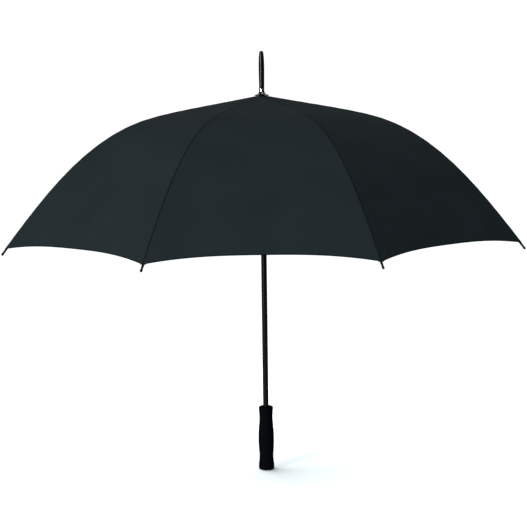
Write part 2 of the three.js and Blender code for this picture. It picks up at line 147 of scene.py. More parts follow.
# -------------------------------------------------- meshes
class Shape:
    """Vertices and faces gathered from several surfaces, in millimetres."""

    def __init__(self):
        self.vertices = []
        self.faces = []

    def add(self, vertices, faces):
        first = len(self.vertices)
        self.vertices += [tuple(map(float, v)) for v in vertices]
        self.faces += [tuple(first + i for i in face) for face in faces]
        return self

    def loft(self, rings, caps=True, closed=False):
        """A surface through rings of as many points each."""
        count = len(rings[0])
        faces = []
        for k in range(len(rings) if closed else len(rings) - 1):
            here, there = k * count, (k + 1) % len(rings) * count
            for j in range(count):
                n = (j + 1) % count
                faces.append((here + j, here + n, there + n, there + j))
        if caps and not closed:
            faces.append(tuple(reversed(range(count))))
            last = (len(rings) - 1) * count
            faces.append(tuple(last + j for j in range(count)))
        return self.add(np.concatenate(rings), faces)

    def lathe(self, profile, segments=64, matrix=None):
        """A turned solid about Z from (radius, height) pairs, which end on the axis or form a closed ring."""
        angles = np.arange(segments) * 2 * math.pi / segments
        closed = profile[0] == profile[-1]
        profile = profile[:-1] if closed else profile
        rows, vertices, faces = [], [], []
        for radius, height in profile:
            if radius < 1e-9:
                rows.append([len(vertices)] * segments)
                vertices.append((0, 0, height))
            else:
                rows.append(list(range(len(vertices), len(vertices) + segments)))
                vertices += [(radius * math.cos(a), radius * math.sin(a), height) for a in angles]
        pairs = list(zip(rows, rows[1:] + rows[:1])) if closed else list(zip(rows, rows[1:]))
        for low, high in pairs:
            for j in range(segments):
                n = (j + 1) % segments
                face = [low[j], low[n], high[n], high[j]]
                face = list(dict.fromkeys(face))
                if len(face) > 2:
                    faces.append(tuple(face))
        if matrix is not None:
            vertices = [matrix @ Vector(v) for v in vertices]
        return self.add(vertices, faces)

    def plate(self, outline, thickness, bevel=0.2, matrix=None):
        """A flat plate in the XZ plane about y = 0, with its edges broken."""
        outline = np.array(outline, float)
        inset = inset_of(outline, bevel)
        half = thickness / 2
        rings = []
        for ring, y in ((inset, -half), (outline, bevel - half), (outline, half - bevel), (inset, half)):
            rings.append(np.column_stack([ring[:, 0], np.full(len(ring), y), ring[:, 1]]))
        if matrix is not None:
            rings = [np.array([matrix @ Vector(p) for p in ring]) for ring in rings]
        return self.loft(rings)

    def made(self, name, finish, smooth_under=35, weld=True):
        mesh = bpy.data.meshes.new(name)
        mesh.from_pydata([tuple(c * MM for c in v) for v in self.vertices], [], self.faces)
        mesh.validate()
        obj = bpy.data.objects.new(name, mesh)
        bpy.context.scene.collection.objects.link(obj)
        tidy_faces(mesh, weld)
        smooth(mesh, smooth_under)
        mesh.materials.append(finish)
        return obj


def tidy_faces(mesh, weld):
    """Faces out, and points that meet are one."""
    work = bmesh.new()
    work.from_mesh(mesh)
    if weld:
        bmesh.ops.remove_doubles(work, verts=work.verts, dist=1e-7)
    bmesh.ops.recalc_face_normals(work, faces=work.faces)
    work.to_mesh(mesh)
    work.free()


def smooth(mesh, degrees):
    mesh.polygons.foreach_set("use_smooth", [True] * len(mesh.polygons))
    mesh.set_sharp_from_angle(angle=degrees * DEGREE)


def inset_of(outline, distance):
    """The outline moved inwards by a distance, corner by corner."""
    before = outline - np.roll(outline, 1, 0)
    after = np.roll(outline, -1, 0) - outline
    area = np.sum(outline[:, 0] * np.roll(outline[:, 1], -1) - np.roll(outline[:, 0], -1) * outline[:, 1])
    turn = 1 if area > 0 else -1
    normals = []
    for edge in (before, after):
        unit = edge / np.linalg.norm(edge, axis=1, keepdims=True)
        normals.append(turn * np.column_stack([-unit[:, 1], unit[:, 0]]))
    middle = normals[0] + normals[1]
    scale = 2 / np.maximum(np.sum(middle * middle, 1, keepdims=True), 0.5)
    return outline + distance * middle * scale


def cut(obj, cutters):
    """Takes the cutters' volumes out of obj, and removes them."""
    for cutter in cutters:
        modifier = obj.modifiers.new("cut", "BOOLEAN")
        modifier.object = cutter
        modifier.operation = "DIFFERENCE"
        modifier.solver = "EXACT"
    bpy.context.view_layer.update()
    old = obj.data
    evaluated = obj.evaluated_get(bpy.context.evaluated_depsgraph_get())
    obj.data = bpy.data.meshes.new_from_object(evaluated)
    obj.modifiers.clear()
    for cutter in cutters:
        bpy.data.objects.remove(cutter)
    name = old.name
    bpy.data.meshes.remove(old)
    obj.data.name = name
    return obj


def block(low, high):
    """A box between two corners, for cutting."""
    (x0, y0, z0), (x1, y1, z1) = low, high
    rings = [np.array([(x0, y0, z), (x1, y0, z), (x1, y1, z), (x0, y1, z)], float) for z in (z0, z1)]
    return Shape().loft(rings)


def arc(centre, radius, start, end, steps):
    """Points on an arc, with its angles in degrees."""
    angles = np.linspace(start, end, steps + 1) * DEGREE
    return [(centre[0] + radius * math.cos(a), centre[1] + radius * math.sin(a)) for a in angles]


def smooth_curve(points, steps):
    """A smooth curve through (radius, height) pairs."""
    points = [np.array(p, float) for p in points]
    points = [2 * points[0] - points[1], *points, 2 * points[-1] - points[-2]]
    out = []
    for a, b, c, d in zip(points, points[1:], points[2:], points[3:]):
        for t in np.arange(steps) / steps:
            square = (2 * a - 5 * b + 4 * c - d) * t**2
            cube = (3 * b - a - 3 * c + d) * t**3
            out.append(0.5 * (2 * b + (c - a) * t + square + cube))
    out.append(points[-2])
    return [tuple(p) for p in out]


def settle(piece, body, nodes=(), rib=None):
    """Turns a piece of an arm into place, ties it to its body, and hides the CAD nodes it stands for."""
    if rib is not None:
        piece.rotation_euler = Euler((0, 0, azimuth_of(rib)))
    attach(piece, body)
    if nodes:
        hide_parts(*nodes)
    return piece


def azimuth_of(rib):
    return HALF_PANEL + (rib - 1) * 2 * HALF_PANEL


# -------------------------------------------------- materials
class Finish:
    """A node material round one Principled shader."""

    def __init__(self, name, **sockets):
        self.material = bpy.data.materials.new(name)
        self.material.use_nodes = True
        self.tree = self.material.node_tree
        self.shader = self.tree.nodes["Principled BSDF"]
        for socket, value in sockets.items():
            self.shader.inputs[socket.replace("_", " ")].default_value = value

    def node(self, kind, settings=None, **inputs):
        made = self.tree.nodes.new("ShaderNode" + kind)
        for key, value in (settings or {}).items():
            setattr(made, key, value)
        for key, value in inputs.items():
            socket = made.inputs[int(key[1:])] if key[0] == "_" else made.inputs[key.replace("_", " ")]
            if isinstance(value, bpy.types.NodeSocket):
                self.tree.links.new(value, socket)
            else:
                socket.default_value = value
        return made.outputs[0]

    def place(self, stretch=(1, 1, 1)):
        """Coordinates in metres on the object, stretched."""
        source = self.tree.nodes.new("ShaderNodeTexCoord").outputs["Object"]
        return self.node("Mapping", Vector=source, Scale=stretch)

    def noise(self, scale, detail=2.0, roughness=0.5, stretch=(1, 1, 1)):
        place = self.place(stretch)
        return self.node("TexNoise", Vector=place, Scale=scale, Detail=detail, Roughness=roughness)

    def math(self, operation, a, b=0.0, clamp=False):
        return self.node("Math", {"operation": operation, "use_clamp": clamp}, _0=a, _1=b)

    def uv(self, name):
        """Both coordinates of a UV map."""
        parts = self.tree.nodes.new("ShaderNodeSeparateXYZ")
        self.tree.links.new(self.node("UVMap", {"uv_map": name}), parts.inputs[0])
        return parts.outputs[0], parts.outputs[1]

    def wave(self, value, pitch):
        return self.math("SINE", self.math("MULTIPLY", value, 2 * math.pi / pitch))

    def cells(self, scale):
        """The distance to the middle of the nearest cell."""
        made = self.tree.nodes.new("ShaderNodeTexVoronoi")
        made.inputs["Scale"].default_value = scale
        self.tree.links.new(self.place(), made.inputs["Vector"])
        return made.outputs["Distance"]

    def span(self, value, low, high, to_low=0.0, to_high=1.0):
        """value from low to high becomes to_low to to_high, held at both ends."""
        settings = {"interpolation_type": "SMOOTHSTEP"}
        return self.node("MapRange", settings, _0=value, _1=low, _2=high, _3=to_low, _4=to_high)

    def mix(self, share, a, b):
        """A colour from a at share 0 to b at share 1."""
        made = self.tree.nodes.new("ShaderNodeMix")
        made.data_type = "RGBA"
        for socket, value in zip((made.inputs[0], made.inputs[6], made.inputs[7]), (share, a, b)):
            if isinstance(value, bpy.types.NodeSocket):
                self.tree.links.new(value, socket)
            else:
                socket.default_value = value
        return made.outputs[2]

    def set(self, socket, value):
        self.tree.links.new(value, self.shader.inputs[socket])

    def bump(self, height, distance, strength=1.0):
        made = self.node("Bump", Height=height, Distance=distance, Strength=strength)
        self.set("Normal", made)


def colour(red, green, blue):
    return (red, green, blue, 1.0)


def cloth_finish():
    """Plain-woven pongee: fine crossed threads, sewn seams and a stitched hem, with painted shade along the
    seams and at the hem's edge.
    """
    f = Finish("canopy_pongee", Sheen_Weight=0.02, Sheen_Roughness=0.5, Specular_IOR_Level=0.1)
    across, along = f.uv("cloth")
    seam, hem = f.uv("edges")

    thread_pitch, stitch_pitch = 0.00042, 0.0028
    hem_row_at, seam_row_at = 0.0075, 0.0024
    thread = f.math("MULTIPLY", f.wave(across, thread_pitch), f.wave(along, thread_pitch))

    def stitching(edge, row_at, row_width, run):
        off_row = f.math("ABSOLUTE", f.math("SUBTRACT", edge, row_at))
        row = f.math("SUBTRACT", 1.0, f.span(off_row, 0.0002, row_width))
        return f.math("MULTIPLY", row, f.span(f.wave(run, stitch_pitch), -0.5, 0.1))

    hem_stitch = stitching(hem, hem_row_at, 0.0006, across)
    seam_stitch = stitching(seam, seam_row_at, 0.0005, along)
    stitches = f.math("MAXIMUM", hem_stitch, seam_stitch)

    cloudy = f.noise(9.0, 3.0)
    fibre = f.noise(2600.0, 1.0)
    tone = f.mix(f.span(cloudy, 0.3, 0.7), colour(0.0129, 0.0218, 0.0254), colour(0.0151, 0.0248, 0.0287))
    tone = f.mix(f.math("MULTIPLY", f.span(fibre, 0.35, 0.65), 0.2), tone, colour(0.024, 0.033, 0.037))
    # Painted shade: the cloth darkens towards each seam, where it dips between the panels.
    tone = f.mix(f.span(seam, 0.0013, 0.0032, 0.72, 0.0), tone, colour(0.003, 0.0045, 0.0052))
    # Painted shade: the cloth darkens towards the hem, where it turns under.
    tone = f.mix(f.span(hem, 0.0008, 0.003, 0.85, 0.0), tone, colour(0.003, 0.004, 0.0046))
    tone = f.mix(f.math("MULTIPLY", stitches, 0.75), tone, colour(0.02, 0.024, 0.026))
    f.set("Base Color", tone)
    f.set("Roughness", f.span(cloudy, 0.2, 0.8, 0.72, 0.84))
    pucker = f.math("MULTIPLY", f.math("SUBTRACT", 1.0, f.span(seam, 0.0, 0.006)), f.noise(320.0, 1.0))
    height = f.math("ADD", f.math("MULTIPLY", thread, 0.12), f.math("MULTIPLY", stitches, 1.6))
    height = f.math("ADD", height, f.math("MULTIPLY", pucker, 0.8))
    f.bump(height, 0.00018, 0.7)
    return f.material


def plain_cloth_finish():
    """The same cloth where it has no seams or hem of its own."""
    f = Finish("pongee_trim", Sheen_Weight=0.02, Sheen_Roughness=0.5, Specular_IOR_Level=0.1)
    threads = f.tree.nodes.new("ShaderNodeTexMagic")
    threads.turbulence_depth = 1
    threads.inputs["Scale"].default_value = 1200.0
    f.tree.links.new(f.place(), threads.inputs["Vector"])
    value = f.node("RGBToBW", Color=threads.outputs["Color"])
    f.set("Base Color", f.mix(value, colour(0.012, 0.0175, 0.02), colour(0.018, 0.025, 0.028)))
    f.set("Roughness", f.span(value, 0.0, 1.0, 0.72, 0.85))
    f.bump(value, 0.0001, 0.5)
    return f.material


def foam_finish():
    """Closed-cell foam: a fine even grain with a few larger pores."""
    f = Finish("grip_foam", Specular_IOR_Level=0.06)
    pore = f.math("SUBTRACT", 1.0, f.span(f.cells(420.0), 0.12, 0.3))
    cell = f.span(f.cells(1500.0), 0.1, 0.6)
    tone = f.mix(cell, colour(0.0012, 0.002, 0.0028), colour(0.0024, 0.0036, 0.0048))
    rubbed = f.math("MULTIPLY", f.span(f.noise(60.0, 3.0), 0.4, 0.7), 0.5)
    tone = f.mix(rubbed, tone, colour(0.0032, 0.0044, 0.0055))
    # Painted shade: the pores, sunk in the bump, are darker than the foam round them.
    f.set("Base Color", f.mix(pore, tone, colour(0.001, 0.001, 0.0012)))
    f.set("Roughness", f.span(f.noise(180.0), 0.3, 0.7, 0.8, 0.94))
    f.bump(f.math("SUBTRACT", cell, f.math("MULTIPLY", pore, 1.4)), 0.00016, 0.7)
    return f.material


def plastic_finish(name, base, low, high, grain, specular):
    """Moulded plastic: a faint grain in its roughness and surface, and lighter rubbed spots."""
    f = Finish(name, Specular_IOR_Level=specular)
    worn = f.span(f.noise(140.0, 4.0, 0.6), 0.52, 0.75)
    rubbed = tuple(min(1.0, 1.7 * c + 0.002) for c in base)
    f.set("Base Color", f.mix(f.math("MULTIPLY", worn, 0.5), colour(*base), colour(*rubbed)))
    f.set("Roughness", f.span(f.noise(260.0, 3.0), 0.3, 0.7, low, high))
    f.bump(f.noise(grain, 2.0), 0.000015, 0.12)
    return f.material


def enamel_finish(name, base, low, high, stretch):
    """Baked enamel on drawn or pressed steel: fine lengthwise streaks and a slight orange peel."""
    f = Finish(name, Coat_Weight=0.35, Coat_Roughness=0.12)
    streak = f.noise(700.0, 3.0, 0.6, stretch)
    lighter = tuple(1.8 * c + 0.001 for c in base)
    share = f.math("MULTIPLY", f.span(streak, 0.4, 0.7), 0.4)
    f.set("Base Color", f.mix(share, colour(*base), colour(*lighter)))
    f.set("Roughness", f.span(streak, 0.3, 0.7, low, high))
    f.bump(f.noise(900.0, 1.0), 0.00002, 0.25)
    return f.material


def metal_finish(name, base, low, high, stretch):
    """Bare or plated metal: polishing streaks and faint cloudiness."""
    f = Finish(name, Metallic=1.0)
    streak = f.noise(900.0, 3.0, 0.6, stretch)
    darker = tuple(0.82 * c for c in base)
    f.set("Base Color", f.mix(f.span(f.noise(90.0, 3.0), 0.35, 0.75), colour(*base), colour(*darker)))
    f.set("Roughness", f.span(streak, 0.3, 0.7, low, high))
    f.bump(streak, 0.00001, 0.2)
    return f.material


def thread_finish():
    """Twisted polyester thread."""
    f = Finish("sewing_thread", Sheen_Weight=0.3)
    twist = f.noise(1800.0, 2.0, 0.5, (1, 1, 0.3))
    f.set("Base Color", f.mix(twist, colour(0.008, 0.009, 0.01), colour(0.03, 0.034, 0.036)))
    f.set("Roughness", f.span(twist, 0.3, 0.7, 0.6, 0.8))
    f.bump(twist, 0.00008, 0.6)
    return f.material


LONG = (1, 1, 0.03)
CLOTH = cloth_finish()
CLOTH_PLAIN = plain_cloth_finish()
FOAM = foam_finish()
GLOSS = plastic_finish("gloss_black", (0.0022, 0.0026, 0.003), 0.3, 0.36, 1200.0, specular=0.4)
MATTE = plastic_finish("satin_black", (0.0028, 0.0033, 0.0037), 0.45, 0.58, 1600.0, specular=0.2)
FIBREGLASS = enamel_finish("fibreglass_rod", (0.007, 0.0075, 0.008), 0.38, 0.5, (1, 1, 0.06))
ENAMEL = enamel_finish("shaft_enamel", (0.004, 0.0045, 0.005), 0.2, 0.28, LONG)
RIB_STEEL = enamel_finish("rib_enamel", (0.008, 0.0085, 0.009), 0.3, 0.4, (1, 1, 0.1))
CHROME = metal_finish("chrome_plate", (0.82, 0.83, 0.85), 0.04, 0.1, (1, 1, 0.2))
SPRING = metal_finish("spring_steel", (0.48, 0.49, 0.5), 0.2, 0.32, LONG)
THREAD = thread_finish()


# -------------------------------------------------- camera, light, floor
EYE = (-0.0012, -3.478, 0.917)
ORBIT, PITCH, ROLL = 0.007, 0.1141, 0.0131
LENS = 96.9
BACKDROP = 1.1
SURROUND = 0.42
REFLECTED = 0.025
FLOOR_GLOW = 0.7
GLOW_START, GLOW_FULL = 0.05, 0.8
# Name, place, what it aims at, width and height, watts.
FLOOR_LIGHT = ("floor_light", (-0.48, 0.38, 1.35), (0, 0, 0), (1.3, 1.3), 27)
LIGHTS = (
    ("key", (-3.46, -4.12, 1.75), (0, 0, 0.6), (1.5, 1.5), 160),
    ("strip", (-2.1, -2.6, 0.75), (0, 0, 0.75), (0.35, 2.0), 6),
    ("glint", (0.5, -0.8, 3.0), (0, 0, 0.95), (0.5, 0.5), 4),
)


def make_camera():
    """A camera at the height of the canopy's top, 3.5 m away, turned and rolled a little."""
    data = bpy.data.cameras.new("camera")
    data.sensor_width = 36
    data.lens = LENS
    camera = bpy.data.objects.new("camera", data)
    bpy.context.scene.collection.objects.link(camera)
    turn = Matrix.Rotation(math.pi / 2 - PITCH, 4, "X") @ Matrix.Rotation(-ROLL, 4, "Z")
    camera.matrix_world = Matrix.Rotation(ORBIT, 4, "Z") @ Matrix.Translation(EYE) @ turn
    bpy.context.scene.camera = camera


def make_area_light(name, place, aim, size, power):
    data = bpy.data.lights.new(name, "AREA")
    data.shape = "RECTANGLE"
    data.size, data.size_y = size
    data.energy = power
    light = bpy.data.objects.new(name, data)
    bpy.context.scene.collection.objects.link(light)
    facing = (Vector(place) - Vector(aim)).to_track_quat("Z", "Y").to_matrix().to_4x4()
    light.matrix_world = Matrix.Translation(place) @ facing
    return light


def by_ray(tree, base, others):
    """Mixes shaders by the kind of ray. others are (ray, shader) pairs, the last one on top."""
    path = tree.nodes.new("ShaderNodeLightPath")
    shown = base
    for ray, shader in others:
        mix = tree.nodes.new("ShaderNodeMixShader")
        tree.links.new(path.outputs[ray], mix.inputs[0])
        tree.links.new(shown.outputs[0], mix.inputs[1])
        tree.links.new(shader.outputs[0], mix.inputs[2])
        shown = mix
    return shown


def make_world():
    """A white backdrop, with a softer pale surround for matt surfaces and a dim one for reflections."""
    world = bpy.data.worlds.new("studio")
    world.use_nodes = True
    bpy.context.scene.world = world
    tree = world.node_tree

    def background(tint, strength):
        made = tree.nodes.new("ShaderNodeBackground")
        made.inputs["Color"].default_value = (*tint, 1)
        made.inputs["Strength"].default_value = strength
        return made

    soft = background((0.93, 0.98, 1.0), SURROUND)
    dim, white = background((1, 1, 1), REFLECTED), background((1, 1, 1), BACKDROP)
    others = [("Is Glossy Ray", dim), ("Is Camera Ray", white)]
    tree.links.new(by_ray(tree, soft, others).outputs[0], tree.nodes["World Output"].inputs["Surface"])


def make_floor():
    """A plain white floor, so bright that only the shadow round the grip shows on it.

    It is clear from below, where it would hide the ribs.
    """
    finish = bpy.data.materials.new("floor_white")
    finish.use_nodes = True
    tree = finish.node_tree

    def paint(shade):
        made = tree.nodes.new("ShaderNodeBsdfPrincipled")
        made.inputs["Base Color"].default_value = (*shade, 1)
        made.inputs["Roughness"].default_value = 0.9
        made.inputs["Specular IOR Level"].default_value = 0.0
        return made

    place = tree.nodes.new("ShaderNodeTexCoord")
    away = tree.nodes.new("ShaderNodeVectorMath")
    away.operation = "LENGTH"
    tree.links.new(place.outputs["Object"], away.inputs[0])
    # Painted light: a glow that only the camera sees, fading out towards the grip and full from 0.8 m away,
    # which whitens the canopy's shadow farther out.
    glow = tree.nodes.new("ShaderNodeMapRange")
    glow.interpolation_type = "SMOOTHSTEP"
    for socket, value in zip(glow.inputs[1:5], (GLOW_START, GLOW_FULL, 0.0, FLOOR_GLOW)):
        socket.default_value = value
    tree.links.new(away.outputs["Value"], glow.inputs[0])
    seen = paint((0.86, 0.93, 0.94))
    seen.inputs["Emission Color"].default_value = (1, 1, 1, 1)
    tree.links.new(glow.outputs[0], seen.inputs["Emission Strength"])
    soft = tree.nodes["Principled BSDF"]
    soft.inputs["Base Color"].default_value = (0.25, 0.255, 0.26, 1)
    # Painted light and shade: the camera sees the floor white and glowing, other surfaces see it grey, and
    # reflections see it dark.
    others = [("Is Glossy Ray", paint((0.1, 0.1, 0.1))), ("Is Camera Ray", seen)]
    top = by_ray(tree, soft, others)
    sides = tree.nodes.new("ShaderNodeMixShader")
    tree.links.new(tree.nodes.new("ShaderNodeNewGeometry").outputs["Backfacing"], sides.inputs[0])
    tree.links.new(top.outputs[0], sides.inputs[1])
    tree.links.new(tree.nodes.new("ShaderNodeBsdfTransparent").outputs[0], sides.inputs[2])
    tree.links.new(sides.outputs[0], tree.nodes["Material Output"].inputs["Surface"])
    mesh = bpy.data.meshes.new("floor")
    far = 14.0
    mesh.from_pydata([(-far, -far, 0), (far, -far, 0), (far, far, 0), (-far, far, 0)], [], [(0, 1, 2, 3)])
    mesh.materials.append(finish)
    floor = bpy.data.objects.new("floor", mesh)
    bpy.context.scene.collection.objects.link(floor)
    return floor


def make_floor_light(floor):
    """A soft light above, a little behind and to the left.

    It lights the floor alone, and only the grip and the shaft shade it.
    """
    light = make_area_light(*FLOOR_LIGHT)
    receivers = bpy.data.collections.new("floor_light_receivers")
    receivers.objects.link(floor)
    blockers = bpy.data.collections.new("floor_light_blockers")
    for name in ("grip", "shaft"):
        blockers.objects.link(bpy.data.objects[name])
    light.light_linking.receiver_collection = receivers
    light.light_linking.blocker_collection = blockers


def make_stage():
    bpy.context.scene.view_settings.view_transform = "Standard"
    make_world()
    make_floor_light(make_floor())
    for light in LIGHTS:
        make_area_light(*light)


# -------------------------------------------------- shaft, grip and ferrule
def make_shaft():
    low, high = heights_of("shaft_tube")
    bore = SHAFT_RADIUS - SHAFT_WALL
    edge = 0.25
    profile = [
        (bore, low + edge),
        (bore + edge, low),
        (SHAFT_RADIUS - edge, low),
        (SHAFT_RADIUS, low + edge),
        (SHAFT_RADIUS, high - edge),
        (SHAFT_RADIUS - edge, high),
        (bore + edge, high),
        (bore, high - edge),
        (bore, low + edge),
    ]
    shaft = Shape().lathe(profile, 96).made("shaft", ENAMEL)
    slots = []
    for node in ("top_latch", "bottom_latch"):
        slot_low, slot_high = heights_of(node)
        nose = block((-1.3, 3, slot_low + 5), (1.3, 9, slot_high - 5))
        slots.append(nose.made(node + "_slot", ENAMEL))
    cut(shaft, slots)
    smooth(shaft.data, 35)
    settle(shaft, "root", ["shaft_tube"])


def make_grip():
    """Foam with a waist above and below its swell, a soft lip at the top and a rolled bottom edge."""
    low, high = heights_of("foam_grip")
    outside = smooth_curve(
        [(18.3, 1.4), (19.5, 5), (19.2, 12), (17.4, 34), (18.7, 55), (19.4, 76), (18.9, 98), (17.3, 118)]
        + [(16.8, 134), (17.6, 150), (18.1, 156)],
        10,
    )
    lip = smooth_curve([(18.1, 156), (17.6, 158.9), (16.2, high), (12, high - 0.25), (7.35, high - 0.5)], 6)
    profile = [(7.35, 3.7), (11.4, 3.7), (11.4, low), (16.6, low), (17.6, low + 0.3)]
    profile += [*outside, *lip[1:], (7.35, 3.7)]
    grip = Shape().lathe(profile, 128).made("grip", FOAM, 50)
    settle(grip, "root", ["foam_grip"])


def make_plug():
    """The moulded plug in the tube's end, with a shallow ring and a gate mark."""
    low, high = heights_of("grip_end_plug")
    stem = 5.9
    profile = [(0, 0.7), (1.1, 0.7), (1.5, 0.3), (2.4, 0), (6.6, 0), (7, 0.5), (8.2, 0.5), (8.6, 0)]
    profile += [(10.2, 0), (10.8, 0.3), (11, 0.8), (11, 3.0), (10.7, 3.3), (stem, 3.3), (stem, high - 1)]
    profile += [(stem - 1, high), (0, high)]
    plug = Shape().lathe([(r, z + low) for r, z in profile], 64).made("grip_end_plug_moulding", MATTE)
    settle(plug, "root", ["grip_end_plug"])


def make_cap():
    """The thin moulded disc that clamps the cloth at the top."""
    low, high = heights_of("canopy_cap")
    rim = arc((17.0, low + 1.0), 0.8, -90, 40, 6)
    crown = smooth_curve([rim[-1], (16.2, high - 1.1), (13, high - 0.45), (9.6, high - 0.1)], 6)
    profile = [(7.3, low), (16.4, low + 0.1), *rim, *crown[1:], (7.3, high), (7.3, low)]
    cap = Shape().lathe(profile, 96).made("top_cap", MATTE, 40)
    settle(cap, "root", ["canopy_cap"])


def make_collar():
    """The plated bell between the cap and the spike, with a rolled top edge."""
    low, high = heights_of("ferrule_collar")
    bell = smooth_curve(
        [(10.2, low + 0.5), (9.2, low + 1.3), (7.9, low + 2.9), (7.0, low + 5.0)]
        + [(6.58, low + 7.6), (6.5, high - 0.7)],
        8,
    )
    edge = arc((6.1, high - 0.4), 0.4, 0, 90, 4)
    profile = [(5.3, low), (9.9, low), (10.15, low + 0.15), *bell, *edge, (5.3, high), (5.3, low)]
    collar = Shape().lathe(profile, 96).made("ferrule_bell", CHROME, 40)
    settle(collar, "root", ["ferrule_collar"])


def make_spike():
    """The long glossy ferrule: slim at its foot, fullest at half its height, with a round end."""
    low, high = heights_of("ferrule_spike")
    foot = heights_of("ferrule_collar")[1] + 0.3
    shoulder = high - 5
    body = [(6.3, foot + 0.4), (6.55, shoulder - 69), (6.85, shoulder - 49), (6.9, shoulder - 29)]
    body = smooth_curve([*body, (6.35, shoulder - 12), (5.2, shoulder)], 10)
    dome = [(5.2 * r, shoulder + 5 * (z - shoulder)) for r, z in arc((0, shoulder), 1, 0, 90, 10)]
    profile = [(0, low), (4.6, low), (5, low + 0.6), (5, foot), (6.0, foot), *body, *dome[1:-1], (0, high)]
    spike = Shape().lathe(profile, 96).made("spike", GLOSS, 40)
    settle(spike, "root", ["ferrule_spike"])


# -------------------------------------------------- notch and runner
def crown_profile(bore, radius, low, high, edge):
    top = arc((radius - edge, high - edge), edge, 0, 90, 4)
    return [(radius, low), *top, (bore + edge, high), (bore, high - edge)]


def ring_blocks(width, inner, outer, low, high):
    """One cutting block for each rib, round the shaft."""
    blocks = []
    for rib in RIBS:
        made = block((inner, -width / 2, low), (outer, width / 2, high)).made("slot", MATTE)
        made.rotation_euler = Euler((0, 0, azimuth_of(rib)))
        blocks.append(made)
    return blocks


def wire_groove(height, inner, outer):
    half = 0.8
    profile = [(inner, height - half), (outer, height - half), (outer, height + half), (inner, height + half)]
    return Shape().lathe([*profile, profile[0]], 64).made("groove", MATTE)


def make_hinge_wire(name, height, body, node):
    """A closed ring of spring wire."""
    rings = []
    for angle in np.arange(96) * 2 * math.pi / 96:
        out = np.array([math.cos(angle), math.sin(angle), 0])
        circle = [
            out * (HINGE_RADIUS + 0.5 * math.cos(b)) + np.array([0, 0, height + 0.5 * math.sin(b)])
            for b in np.arange(12) * 2 * math.pi / 12
        ]
        rings.append(np.array(circle))
    wire = Shape().loft(rings, closed=True).made(name, SPRING, 60)
    settle(wire, body, [node])


def make_notch():
    """The fixed crown that the ribs hang from."""
    low, high = heights_of("top_notch")
    bore, tube, crown = 7.3, 10.2, 15
    profile = [(bore, low), (tube - 0.5, low), (tube, low + 0.5), (tube, low + 6.6), (tube + 0.5, low + 7.1)]
    profile += [(crown - 0.6, low + 8.8), *crown_profile(bore, crown, low + 9.5, high, 0.6), (bore, low)]
    notch = Shape().lathe(profile, 96).made("notch", MATTE, 40)
    groove = wire_groove(HINGE_HEIGHT, HINGE_RADIUS - 0.9, crown + 1)
    cut(notch, [groove, *ring_blocks(2.8, 9, 17, low - 1, high + 1)])
    smooth(notch.data, 35)
    settle(notch, "root", ["top_notch"])
    make_hinge_wire("notch_wire", HINGE_HEIGHT, "root", "notch_hinge_wire")


def make_runner():
    """The sliding crown: slots for the stretchers above, a ribbed tube and a finger collar below."""
    low, high = heights_of("runner")
    bore, tube, collar, crown = 7.4, 10.5, 13, 15
    profile = [(bore, low + 0.4), (bore + 0.4, low), (collar - 1.2, low), (collar - 0.3, low + 0.5)]
    profile += [(collar, low + 1.6), (collar, low + 4.6), (collar - 0.5, low + 5.9)]
    profile += [(tube + 0.4, low + 7.4), (tube, low + 8.4)]
    for k in range(5):
        start = low + 17 + 2.6 * k
        profile += [(tube, start), (tube - 0.45, start + 0.4)]
        profile += [(tube - 0.45, start + 1.1), (tube, start + 1.5)]
    profile += [(tube, high - 13.5), (tube + 0.4, high - 12.6)]
    profile += [(crown - 0.6, high - 11), (crown, high - 10.3)]
    profile += [*crown_profile(bore, crown, high - 10, high, 0.7), (bore, low + 0.4)]
    runner = Shape().lathe(profile, 96).made("sliding_runner", MATTE, 40)
    groove = wire_groove(RUNNER_HEIGHT, HINGE_RADIUS - 0.9, crown + 1)
    window = block((-2, 6, low + 3), (2, 14, low + 15.5)).made("window", MATTE)
    cut(runner, [groove, window, *ring_blocks(2.8, 9, 17, RUNNER_HEIGHT - 3.4, high + 1)])
    smooth(runner.data, 35)
    settle(runner, "slider", ["runner"])
    make_hinge_wire("runner_wire", RUNNER_HEIGHT, "slider", "runner_hinge_wire")


def make_latches():
    """Two flat springs in the tube. Each nose has a flat catch and a long ramp, with rounded corners."""
    latches = (("top_latch", "upper_catch", 1, 24), ("bottom_latch", "lower_catch", -1, 10))
    for node, body, facing, nose in latches:
        low, high = heights_of(node)
        catch = high - 6 if facing > 0 else low + 6
        outline = [(1.2, -nose - 6), (5.8, -nose - 6), (5.8, -nose), (7, -nose + 1), (10.9, -4.6)]
        outline += [(11.4, -3.6), (11.4, -0.5), (10.9, 0), (5.8, 0), (5.8, 6), (1.2, 6)]
        outline = [(out, catch + facing * up) for out, up in outline]
        quarter = Matrix.Rotation(math.pi / 2, 4, "Z")
        latch = Shape().plate(outline, 1.6, 0.25, quarter).made(node + "_spring", SPRING)
        settle(latch, body, [node])


# -------------------------------------------------- ribs and stretchers
def channel_section(width, height, wall, up=1):
    """A pressed U section with rounded corners as (across, up), open downwards for up = 1."""
    w, h, r = width / 2, height / 2, 0.5
    outer = [(-w, -h + 0.15), (-w, h - r), *arc((-w + r, h - r), r, 180, 90, 4)]
    outer += arc((w - r, h - r), r, 90, 0, 4)
    inner = [(w - wall, h - wall - 0.3), (w - wall - 0.3, h - wall)]
    inner += [(-w + wall + 0.3, h - wall), (-w + wall, h - wall - 0.3)]
    feet = [(w, -h + 0.15), (w - 0.15, -h), (w - wall + 0.1, -h), (w - wall, -h + 0.1)]
    far = [(-w + wall, -h + 0.1), (-w + wall - 0.1, -h), (-w + 0.15, -h)]
    return [(a, up * b) for a, b in [*outer, *feet, *inner, *far]]


